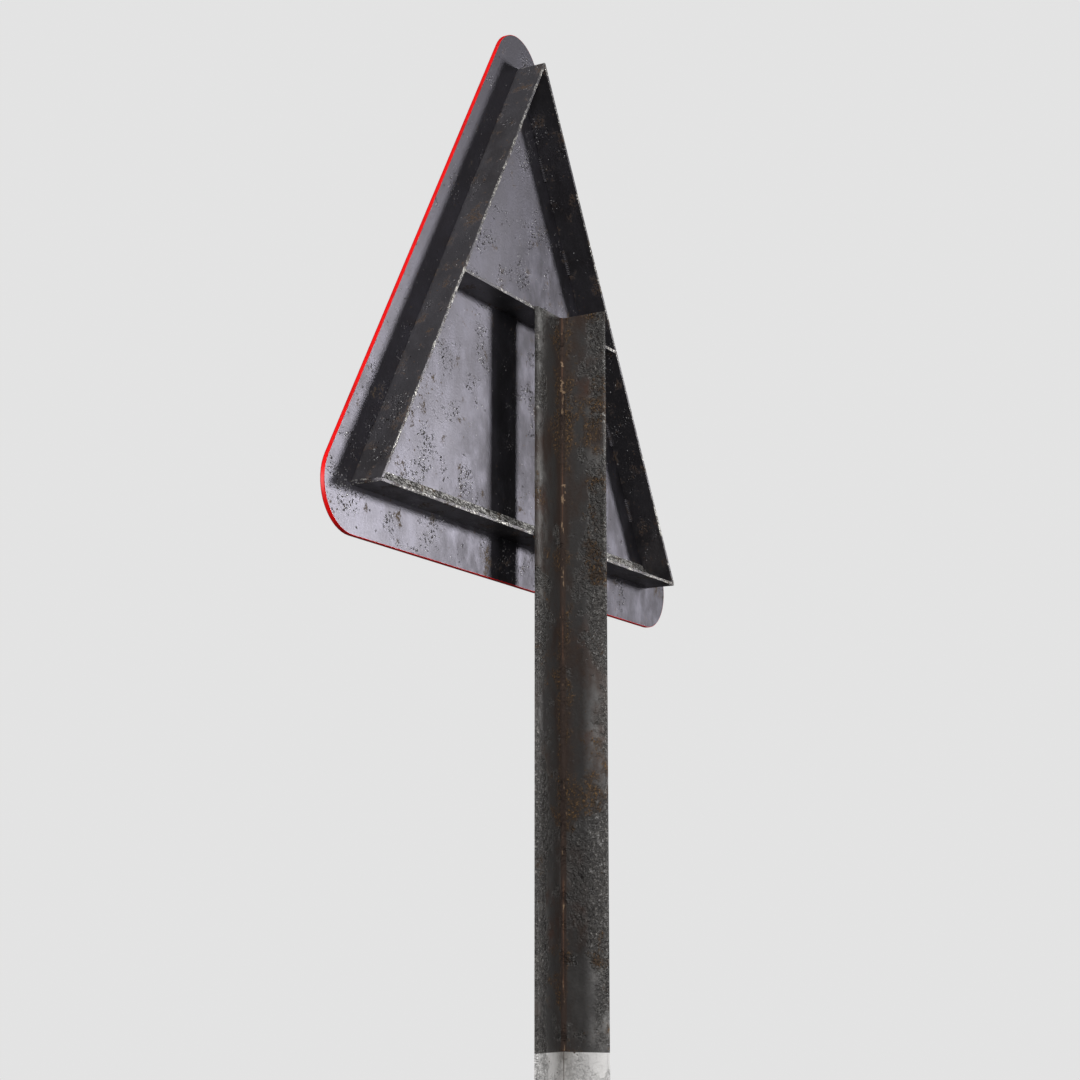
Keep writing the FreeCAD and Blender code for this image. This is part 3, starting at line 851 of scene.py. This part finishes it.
    def blooms(self, skin: Skin, halo: Socket) -> None:
        """Add rust blooms, 30 to 50 mm across, made of ochre and brown specks of 2 to 4 mm."""
        cloud = skin.noise(62, 8.0, 5.0)
        high_up = skin.level(skin.axis("Z"), 1.9, 2.3)
        more = skin.sums("MULTIPLY_ADD", high_up, 0.01, cloud)
        bloom = skin.level(skin.sums("MULTIPLY_ADD", halo, 0.07, more), 0.54, 0.64)
        skin.coat(skin.times(bloom, 0.55), self.brown, 0.8)
        skin.coat(skin.patches(4.5, 0.46, 0.54, 9.0, bloom, detail=4.0), self.rust, 0.8, 0.7)
        skin.coat(skin.patches(2.8, 0.56, 0.61, 10.0, bloom, detail=3.0), self.bloom, 0.85, 0.5)
        stray = skin.patches(70, 0.5, 0.6, 10.5)
        skin.coat(skin.patches(4.5, 0.62, 0.67, 10.7, stray, detail=4.0), self.rust, 0.85, 0.1)

    def seam(self, skin: Skin, reach: Socket) -> Socket:
        """Add the broken rust line in the inner corner, with tan flakes.

        Args:
            skin: the material in the making.
            reach: distance from the inner corner.

        Returns:
            The mask of its narrow strip.
        """
        skin.coat(skin.level(reach, 6.5 * MM, 4 * MM), self.brown, 0.85)
        seam = skin.level(reach, 2.8 * MM, 2.5 * MM)
        skin.coat(skin.patches(20, 0.44, 0.66, 5.0, seam, stretch=(1, 1, 0.4)), self.crease, 0.9, 0.1)
        near = skin.level(reach, 7 * MM, 4 * MM)
        flakes = skin.patches(14, 0.65, 0.69, 5.5, near, detail=3.0)
        skin.coat(flakes, self.flake, 0.6, 0.35)
        strip = skin.level(reach, 3.6 * MM, 2.8 * MM)
        skin.coat(skin.patches(7, 0.58, 0.66, 5.7, strip, stretch=(1, 1, 0.3)), self.flake, 0.7, 0.2)
        return seam

    def add_white(self, skin: Skin, halo: Socket, seam: Socket) -> None:
        """Paint the lower length white up to the brush line.

        Args:
            skin: the material in the making.
            halo: mask round the inner corner.
            seam: narrow mask in the inner corner.
        """
        height = skin.axis("Z")
        low = skin.level(height, self.line + 0.3 * MM, self.line - 0.3 * MM, False)
        skin.coat(low, self.white, 0.45, 0.12)
        skin.coat(skin.patches(28, 0.58, 0.9, 13.0, low), self.dirt, 0.6)
        # Near the inner corner the white is darkened in patches, and evenly towards the corner as
        # painted shade.
        corner = skin.times(halo, low)
        skin.coat(skin.patches(20, 0.4, 0.7, 14.0, corner), self.dirt, 0.65)
        skin.coat(skin.times(corner, 0.5), self.dirt, 0.6)
        skin.coat(skin.times(skin.times(seam, low), 0.7), self.grime, 0.75)
        dents = skin.patches(60, 0.52, 0.62, 15.0, low)
        skin.raise_by(skin.patches(7, 0.45, 0.6, 16.0, dents), -0.4)
        skin.coat(skin.patches(12, 0.66, 0.7, 17.0, low), self.rust, 0.85, -0.12)
        splash = skin.level(height, 0.45, 0.02)
        skin.coat(skin.patches(14, 0.42, 0.62, 18.0, splash), self.mud, 0.85)
        skin.coat(skin.patches(9, 0.6, 0.68, 19.0, splash), self.rust, 0.9, 0.15)


@dataclass(frozen=True)
class FootPaint:
    """White paint on flame cut plate near the ground: chalky, soiled, and rusting at its edges."""

    name: str = "white_paint_on_rusting_flame_cut_plate"
    colour: str = "c6c3be"
    soil: str = "8f8679"
    rust: str = "5f4230"

    def material(self) -> Material:
        """Build the paint."""
        skin = Skin(self.name, self.colour, 0.6)
        skin.coat(skin.patches(40, 0.4, 0.7, 41.0), self.soil, 0.8)
        skin.coat(skin.patches(16, 0.62, 0.7, 42.0, detail=7.0), self.rust, 0.9, -0.1)
        skin.raise_by(skin.patches(2.0, 0.3, 0.75, 43.0, detail=2.0), 0.06)
        skin.coat(skin.worn_edge(6.0, 9.0, 44.0, 0.35), self.rust, 0.9, -0.12)
        return skin.done()


@dataclass(frozen=True)
class PaintedWeld:
    """Arc weld metal under old paint: rippled, with rust coming through its toes."""

    name: str
    colour: str
    rust: str = "6b4326"
    metal: float = 0.0
    seed: float = 51.0

    def material(self) -> Material:
        """Build the finish."""
        skin = Skin(self.name, self.colour, 0.5, self.metal)
        skin.coat(skin.patches(9, 0.5, 0.64, self.seed), self.rust, 0.85, 0.05)
        skin.raise_by(skin.patches(1.2, 0.3, 0.75, self.seed + 1, detail=2.0), 0.05)
        return skin.done()


@dataclass(frozen=True)
class ReflectiveFilm:
    """Retroreflective sheeting: glossy, with the faint net of sealed cells under its surface.

    The real cells are about 3 mm across; they are drawn at 4 mm so that they show.
    """

    name: str
    colour: str
    net: str
    fade: str
    roughness: float = 0.36
    dust: str = "8a8580"
    speck: str = "4a3a30"
    cell: float = 4.0
    seed: float = 61.0

    def material(self) -> Material:
        """Build the film."""
        skin = Skin(self.name, self.colour, self.roughness)
        skin.coat(skin.patches(180, 0.4, 0.75, self.seed), self.fade, self.roughness + 0.1)
        cells = add_node(
            skin.tree, "TexVoronoi",
            {"Vector": skin.place, "Scale": 1 / (self.cell * MM), "Randomness": 0.0},
            feature="DISTANCE_TO_EDGE")
        wall = skin.level(cells.outputs["Distance"], 0.09, 0.05, False)
        skin.coat(wall, self.net, self.roughness + 0.1, 0.02)
        dirt = skin.patches(30, 0.52, 0.8, self.seed + 1, 0.5, stretch=(1, 1, 0.3))
        skin.coat(dirt, self.dust, 0.6)
        skin.coat(skin.spots(60, 0.9, self.seed + 2, 0.8), self.speck, 0.8)
        return skin.done(0.3)


@dataclass(frozen=True)
class StudioFloor:
    """Pale matt studio floor."""

    name: str = "pale_matt_floor_paint"
    colour: str = "c9c9c9"
    shade: str = "c5c5c5"

    def material(self) -> Material:
        """Build the floor's paint."""
        skin = Skin(self.name, self.colour, 0.9)
        skin.coat(skin.patches(900, 0.3, 0.8, 71.0), self.shade, 0.9)
        return skin.done(specular=0.1)


# ---- the object


@dataclass
class SignFace:
    """The sign plate with its painted edge, and the three films on its face."""

    corner: float = 55 * MM
    rim: float = 0.6 * MM
    rings: Sequence[float] = (1 * MM, 3 * MM, 8 * MM, 20 * MM, 40 * MM)

    def build(self) -> None:
        """Make the plate and dress the films."""
        low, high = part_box("sign_plate")
        half = (high.x - low.x) / 2 + self.corner * (ROOT_3 - 1)
        spots = [(-half, low.z), (half, low.z), (0.0, low.z + half * ROOT_3)]
        plate = Slab(
            Plane.XZ, rounded(spots, self.corner), -high.y, -low.y, self.rim, 10 * MM,
            rings=self.rings)
        # The plate's paint is laid with painted shade towards the post and the bottom.
        paint = ZincGreyPaint(painted_shade_strength=0.9).material()
        red = RedEdgeEnamel().material()
        add_piece("painted_sign_plate", plate.build(), [paint, red], "sign_plate")
        films = {
            "sign_border": ReflectiveFilm(
                "red_retroreflective_sheeting", "b01018", "8e0c12", "a81c20"),
            "sign_field": ReflectiveFilm(
                "white_retroreflective_sheeting", "d9d9d4", "bdbdb8", "cfcfc6", seed=64.0),
            "sign_symbol": ReflectiveFilm(
                "black_vinyl_film", "141414", "141414", "1e1e1e", 0.4, seed=67.0)}
        for node, film in films.items():
            dress_node(node, film.material())


@dataclass
class BackFrame:
    """Flat bars on edge behind the plate, the crossbar and the sloping strip."""

    rim: float = 0.45 * MM
    strip_wall: float = 3 * MM
    strip_step: float = 4 * MM
    wave: float = 0.35 * MM

    def side_bar(self, node: str, way: int) -> Shell:
        """A side bar on edge, of the same outline as the CAD bar.

        Args:
            node: the bar's CAD node.
            way: 1 for the +X bar, -1 for the -X bar.

        Returns:
            Its surface.
        """
        low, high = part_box(node)
        bottom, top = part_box("frame_bar_bottom")
        thick = top.z - bottom.z
        outer = max(abs(low.x), abs(high.x))
        apex = low.z + outer * ROOT_3
        spots = [
            (outer, low.z), ((apex - high.z) / ROOT_3, high.z), (0.0, high.z),
            (0.0, apex - 2 * thick), (outer - 2 * thick / ROOT_3, low.z)]
        return self.bar(node, spots if way > 0 else [(-across, up) for across, up in spots[::-1]])

    def level_bar(self, node: str, slant: float) -> Shell:
        """A level bar on edge, whose upper edge is shorter by a slant at both ends."""
        low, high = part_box(node)
        spots = [
            (low.x, low.z), (high.x, low.z), (high.x - slant, high.z), (low.x + slant, high.z)]
        return self.bar(node, spots)

    def bar(self, node: str, spots: Sequence[tuple[float, float]]) -> Shell:
        """An outline carried through the depth of a bar's node."""
        low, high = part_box(node)
        corners = rounded(spots, self.rim)
        return Slab(Plane.XZ, corners, -high.y, -low.y, self.rim, high_is_buried=True).build()

    def strip(self) -> Shell:
        """The sloping strip, its section carried along X and cut to the side bars.

        The section's width across is scaled by the clear half width at each height over the
        half width at the strip's foot, which gives the slanted ends. Its front is sunk by a
        wave, the product of two sines of the run, 9 and 23 mm over 2 pi long.
        """
        low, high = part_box("corner_strip")
        rise, reach = high.z - low.z, high.y - low.y
        slope = math.hypot(rise, reach)
        spots = [
            (low.y, high.z - self.strip_wall * slope / reach),
            (high.y - self.strip_wall * slope / rise, low.z), (high.y, low.z), (low.y, high.z)]

        def cut_to_bars(spots: np.ndarray) -> np.ndarray:
            """Slant the ends and wave the front."""
            run, depth, height = spots.T
            lumps = np.sin(run / (9 * MM)) * np.sin(run / (23 * MM) + 40 * height)
            sunk = self.wave * (1 + lumps) * (depth > low.y + MM)
            run = run * (1 - (height - low.z) / (ROOT_3 * high.x))
            return np.stack([run, depth - sunk, height], axis=1)

        return Slab(
            Plane.YZ, rounded(spots, self.rim), low.x, high.x, self.rim, self.strip_step,
            self.strip_step, warp=cut_to_bars).build()

    def build(self) -> None:
        """Make the bars and the strip."""
        paint = ZincGreyPaint(
            name="zinc_grey_paint_on_flat_bar", colour="646266", pale="727074", deep="4e4b4d",
            stain="56463a", edge="c9c6c0", pitting=0.54, staining=0.54, edge_width=2.1, cover=0.5,
            seed=5.0).material()
        rough = ZincGreyPaint(
            name="zinc_grey_paint_on_scaled_strip", colour="4c4947", pale="817d78", deep="343130",
            stain="6b5842", edge="e6e4e0", pitting=0.4, staining=0.54, speckle=0.95, edge_width=7.0,
            cover=0.5, metal=0.6, seed=17.0).material()
        low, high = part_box("cross_bar")
        bars = {
            "frame_bar_bottom": self.level_bar("frame_bar_bottom", 0.0),
            "frame_bar_left": self.side_bar("frame_bar_left", 1),
            "frame_bar_right": self.side_bar("frame_bar_right", -1),
            "cross_bar": self.level_bar("cross_bar", (high.z - low.z) / ROOT_3)}
        for node, shell in bars.items():
            add_piece(f"painted_{node}", shell, [paint], node)
        add_piece("scaled_corner_strip", self.strip(), [rough], "corner_strip")


@dataclass
class Post:
    """The angle iron post: heel, root fillet, toes and square cut ends."""

    wall: float = 5 * MM
    root: float = 6 * MM
    toe: float = 2.5 * MM
    sharp: float = 0.6 * MM

    def build(self) -> None:
        """Make the post."""
        low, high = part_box("post")
        inner_x, inner_y = low.x + self.wall, low.y + self.wall
        corners = [
            Corner(low.x, low.y, self.sharp * 2),
            Corner(high.x, low.y, self.sharp),
            Corner(high.x, inner_y, self.toe),
            Corner(inner_x, inner_y, self.root),
            Corner(inner_x, high.y, self.toe),
            Corner(low.x, high.y, self.sharp)]
        post = Slab(Plane.XY, corners, low.z, high.z, self.sharp, 6 * MM, 9 * MM)
        paint = PostPaint(inner_x, inner_y).material()
        add_piece("painted_angle_post", post.build(), [paint], "post")


@dataclass
class Foot:
    """Base plate with its anchor holes, and the two gussets."""

    corner: float = 12 * MM
    hole: float = 9 * MM
    pitch: float = 190 * MM
    tip: float = 12 * MM
    clip: float = 12 * MM
    sharp: float = 0.8 * MM
    plate_rim: float = 1 * MM
    gusset_rim: float = 0.6 * MM

    def gusset(self, plane: Plane, box: Sequence[float], start: float, far: float) -> Shell:
        """A gusset: its outline, outwards from the post, carried through its thickness.

        Args:
            plane: the plane its outline lies in.
            box: its lowest and highest depth, then its lowest and highest level.
            start: where it meets the post.
            far: its outer end.

        Returns:
            Its surface.
        """
        near, beyond, low, high = box
        spots = [
            (start - self.clip, low), (start, low + self.clip), (start, high),
            (start - self.tip, high), (far, low + self.tip), (far, low)]
        return Slab(plane, rounded(spots, self.sharp), near, beyond, self.gusset_rim).build()

    def build(self) -> None:
        """Make the base plate and the gussets."""
        paint = FootPaint().material()
        low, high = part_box("base_plate")
        spots = [(low.x, low.y), (high.x, low.y), (high.x, high.y), (low.x, high.y)]
        at = (-self.pitch / 2, self.pitch / 2)
        holes = [Hole(across, along, self.hole) for across in at for along in at]
        corners = rounded(spots, self.corner)
        plate = Slab(Plane.XY, corners, low.z, high.z, self.plate_rim, 15 * MM, holes=holes)
        add_piece("painted_base_plate", plate.build(), [paint], "base_plate")
        low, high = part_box("base_gusset_front")
        front = self.gusset(Plane.YZ, (low.x, high.x, low.z, high.z), high.y, low.y)
        add_piece("painted_gusset_front", front, [paint], "base_gusset_front")
        low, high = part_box("base_gusset_side")
        side = self.gusset(Plane.XZ, (-high.y, -low.y, low.z, high.z), high.x, low.x)
        add_piece("painted_gusset_side", side, [paint], "base_gusset_side")


@dataclass
class Welds:
    """All weld beads, placed from the bars, the plate, the post and the foot."""

    post: Post
    foot: Foot
    leg: float = 4 * MM
    foot_leg: float = 5 * MM
    stitch: float = 35 * MM
    strip_gap: float = 3 * MM
    apart: float = 1 * MM
    per_stretch: int = 2
    per_level: int = 3

    def __post_init__(self) -> None:
        """Read the levels and widths that the beads hang on."""
        low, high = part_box("frame_bar_bottom")
        self.under, self.shelf = low.z, high.z
        self.inner_apex = high.z + high.x * ROOT_3 - 2 * (high.z - low.z)
        self.plate_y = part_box("sign_plate")[1].y
        self.cross_low, self.cross_top = (corner.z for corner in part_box("cross_bar"))
        post_low, post_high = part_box("post")
        self.heel, self.face, self.floor = post_low
        self.post_leg = post_high.x - post_low.x
        self.depth = self.face - self.plate_y

    def half(self, height: float) -> float:
        """Half the clear width between the side bars at a height."""
        return (self.inner_apex - height) / ROOT_3

    def corner_bead(self, side: int, height: float, start: float, length: float) -> Bead:
        """Bead in the 60 degree corner above a level bar, where it meets a side bar."""
        first = -RIGHT if side > 0 else Vector((0.5, 0, ROOT_3 / 2))
        corner = Vector((side * self.half(height), start, height))
        return Bead(corner, BACK, first, length, self.leg, math.pi / 3)

    def side_stitches(self, side: int) -> list[Bead]:
        """Evenly spaced beads between the plate and a side bar's inner face."""
        inward = Vector((-side * ROOT_3 / 2, 0, -0.5))
        run = Vector((0.5, 0, -side * ROOT_3 / 2))
        beads = []
        for low, high in ((self.shelf, self.cross_low), (self.cross_top, self.inner_apex)):
            for index in range(self.per_stretch):
                middle = low + (high - low) * (index + 1) / (self.per_stretch + 1)
                height = middle + side * self.stitch * ROOT_3 / 4
                start = Vector((side * self.half(height), self.plate_y, height))
                beads.append(Bead(start, run, inward, self.stitch, self.leg))
        return beads

    def level_stitches(self, y: float, z: float, turn: float = QUARTER) -> list[Bead]:
        """Evenly spaced level beads of one stitch each, opening away from the plate."""
        middles = [
            self.half(z) * (2 * (index + 1) / (self.per_level + 1) - 1)
            for index in range(self.per_level)]
        return [
            Bead(Vector((middle - self.stitch / 2, y, z)), RIGHT, BACK, self.stitch, self.leg, turn)
            for middle in middles]

    def frame_beads(self) -> dict[str, list[Bead]]:
        """Beads that hold the frame and the strip together and to the plate."""
        low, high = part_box("corner_strip")
        clear = high.y - low.y + self.strip_gap
        strip_turn = math.pi - math.atan((high.z - low.z) / (high.y - low.y))
        apex = Vector((0, self.plate_y, self.inner_apex))
        beads = {
            "weld_apex": [
                Bead(apex, BACK, Vector((0.5, 0, -ROOT_3 / 2)), self.depth, self.leg, math.pi / 3)],
            "weld_plate_cross": self.level_stitches(self.plate_y, self.cross_top),
            "weld_strip": self.level_stitches(high.y, self.shelf, strip_turn)}
        for side, word in ((1, "left"), (-1, "right")):
            beads[f"weld_corner_{word}"] = [
                self.corner_bead(side, self.shelf, self.plate_y + clear, self.depth - clear)]
            beads[f"weld_cross_{word}"] = [
                self.corner_bead(side, self.cross_top, self.plate_y, self.depth)]
            beads[f"weld_plate_{word}"] = self.side_stitches(side)
        return beads

    def post_beads(self) -> dict[str, list[Bead]]:
        """Beads between the post's front face and the two level bars."""
        def bead(height: float, first: Vector) -> Bead:
            """One bead across the post's face."""
            return Bead(Vector((self.heel, self.face, height)), RIGHT, first, self.post_leg)

        return {
            "weld_post_cross": [bead(self.cross_low, -BACK)],
            "weld_post_bottom": [bead(self.shelf, UP), bead(self.under, -BACK)]}

    def foot_beads(self) -> dict[str, list[Bead]]:
        """Beads round the post's foot and along both sides of each gusset."""
        def bead(
            x: float, y: float, along: Vector, first: Vector, length: float, *leg: float
        ) -> Bead:
            """One bead on the base plate."""
            return Bead(Vector((x, y, self.floor)), along, first, length, *leg)

        heel, face, leg = self.heel, self.face, self.foot_leg
        past = self.post.wall + self.post.root
        inner = self.post_leg - past
        low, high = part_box("base_gusset_front")
        side_low, side_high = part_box("base_gusset_side")
        run = high.y - low.y - self.foot.clip
        return {
            "weld_foot": [
                bead(heel, face, RIGHT, UP, self.post_leg, leg),
                bead(heel, face + self.apart, BACK, -RIGHT, self.post_leg - self.apart, leg),
                bead(heel + past, face + self.post.wall, RIGHT, BACK, inner, leg),
                bead(heel + self.post.wall, face + past, BACK, UP, inner, leg)],
            "weld_gussets": [
                bead(high.x, low.y, BACK, UP, run), bead(low.x, low.y, BACK, -RIGHT, run),
                bead(side_low.x, side_high.y, RIGHT, BACK, run),
                bead(side_low.x, side_low.y, RIGHT, UP, run)]}

    def build(self) -> None:
        """Make all beads, one piece for each CAD node."""
        grey = PaintedWeld("grey_painted_arc_weld", "504e52", "3f3530", metal=0.9)
        dark = PaintedWeld("charcoal_painted_arc_weld", "4c4a49", seed=55.0)
        white = PaintedWeld("white_painted_arc_weld", "bdbab5", seed=58.0)
        for finish, beads in (
                (grey, self.frame_beads()), (dark, self.post_beads()), (white, self.foot_beads())):
            material = finish.material()
            for node, parts in beads.items():
                shell = joined([bead.build() for bead in parts])
                add_piece(f"rippled_{node}", shell, [material], node)


@dataclass
class Studio:
    """Floor, lamps, surroundings and camera."""

    eye: Vector = field(default_factory=lambda: Vector((2.17825, 1.19818, 1.53811)))
    yaw: float = 119.526
    pitch: float = 11.667
    lens: float = 69.46
    film: float = 36.0
    waist: float = 1.4
    key_from: Vector = field(default_factory=lambda: Vector((-0.67, 0.74, 0.09)))
    key_distance: float = 5.0
    floor_radius: float = 25.0
    floor_sides: int = 128
    floor_light: float = 3.9
    floor_lamp_spread: float = 40.0
    world_as_light: float = 0.045
    world_as_seen: float = 0.9
    spared: bpy.types.Collection = field(init=False)

    def lamp(self, name: str, place: Vector, target: Vector, size: float, power: float) -> None:
        """Add a square soft box that faces a target and leaves the floor to its own lamp.

        Args:
            name: the lamp's name.
            place: its middle, in metres.
            target: the point it faces.
            size: its side in metres.
            power: its power in watts.
        """
        data = bpy.data.lights.new(name, "AREA")
        data.shape = "SQUARE"
        data.size = size
        data.energy = power
        lamp = linked(name, data)
        lamp.location = place
        lamp.rotation_mode = "QUATERNION"
        lamp.rotation_quaternion = (target - place).to_track_quat("-Z", "Y")
        lamp.light_linking.receiver_collection = self.spared

    def lamps(self) -> None:
        """Hang the soft boxes: key from behind on the right, rim from the front on the left."""
        low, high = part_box("sign_plate")
        sign = (low + high) / 2
        waist = Vector((0.0, 0.0, self.waist))
        key = sign + self.key_from.normalized() * self.key_distance
        for name, place, target, size, power in (
                ("key_softbox", key, sign, 0.78, 122.0),
                ("rim_softbox", (2.4, -1.85, 2.3), sign, 1.3, 56.0),
                ("fill_softbox", (2.6, 2.3, 2.6), sign, 1.8, 62.0),
                ("top_softbox", (1.6, 0.25, 5.2), sign, 1.2, 42.0),
                ("low_softbox", (-1.7, 2.7, 0.7), waist, 1.5, 26.0),
                ("front_softbox", (-1.6, -3.6, 2.6), waist, 2.0, 62.0)):
            self.lamp(name, Vector(place), target, size, power)

    def surroundings(self) -> None:
        """Pale world: bright to the eye, weak as a light."""
        world = bpy.data.worlds.new("pale_studio")
        world.use_nodes = True
        tree = world.node_tree
        tree.nodes.clear()
        path = add_node(tree, "LightPath")
        strength = add_node(
            tree, "MapRange",
            {"Value": path.outputs["Is Camera Ray"], "To Min": self.world_as_light,
             "To Max": self.world_as_seen})
        sky = add_node(
            tree, "Background", {"Color": linear("eeeeee"), "Strength": strength.outputs["Result"]})
        add_node(tree, "OutputWorld", {"Surface": sky.outputs["Background"]})
        bpy.context.scene.world = world

    def floor(self) -> None:
        """Lay a round pale floor with an overhead lamp of its own, which lights nothing else."""
        angles = np.linspace(0, 2 * math.pi, self.floor_sides, endpoint=False)
        rim = np.stack([np.cos(angles), np.sin(angles), np.zeros_like(angles)], axis=1)
        mesh = bpy.data.meshes.new("studio_floor")
        mesh.from_pydata((self.floor_radius * rim).tolist(), [], [list(range(self.floor_sides))])
        mesh.materials.append(StudioFloor().material())
        floor = linked("studio_floor", mesh)
        floor.visible_diffuse = False
        floor.visible_glossy = False
        data = bpy.data.lights.new("floor_lamp", "SUN")
        data.energy = self.floor_light
        data.angle = math.radians(self.floor_lamp_spread)
        lit = bpy.data.collections.new("lit_by_floor_lamp")
        lit.objects.link(floor)
        linked("floor_lamp", data).light_linking.receiver_collection = lit
        self.spared = bpy.data.collections.new("spared_by_soft_boxes")
        self.spared.objects.link(floor)
        self.spared.collection_objects[0].light_linking.link_state = "EXCLUDE"

    def camera(self) -> None:
        """Set up the camera at eye height, looking up at the sign's back."""
        data = bpy.data.cameras.new("eye_camera")
        data.lens = self.lens
        data.sensor_width = self.film
        camera = linked("eye_camera", data)
        camera.location = self.eye
        camera.rotation_euler = (QUARTER + math.radians(self.pitch), 0.0, math.radians(self.yaw))
        bpy.context.scene.camera = camera

    def build(self) -> None:
        """Set the scene round the object."""
        bpy.context.scene.view_settings.view_transform = "Standard"
        self.surroundings()
        self.floor()
        self.lamps()
        self.camera()
        LOG.info("studio: floor, %d lamps and camera in place", len(bpy.data.lights))


def main() -> None:
    """Build everything in order."""
    logging.basicConfig(level=logging.INFO, format="%(name)s: %(message)s")
    post, foot = Post(), Foot()
    for part in (SignFace(), BackFrame(), post, foot, Welds(post, foot), Studio()):
        part.build()


if __name__ == "__main__":
    main()
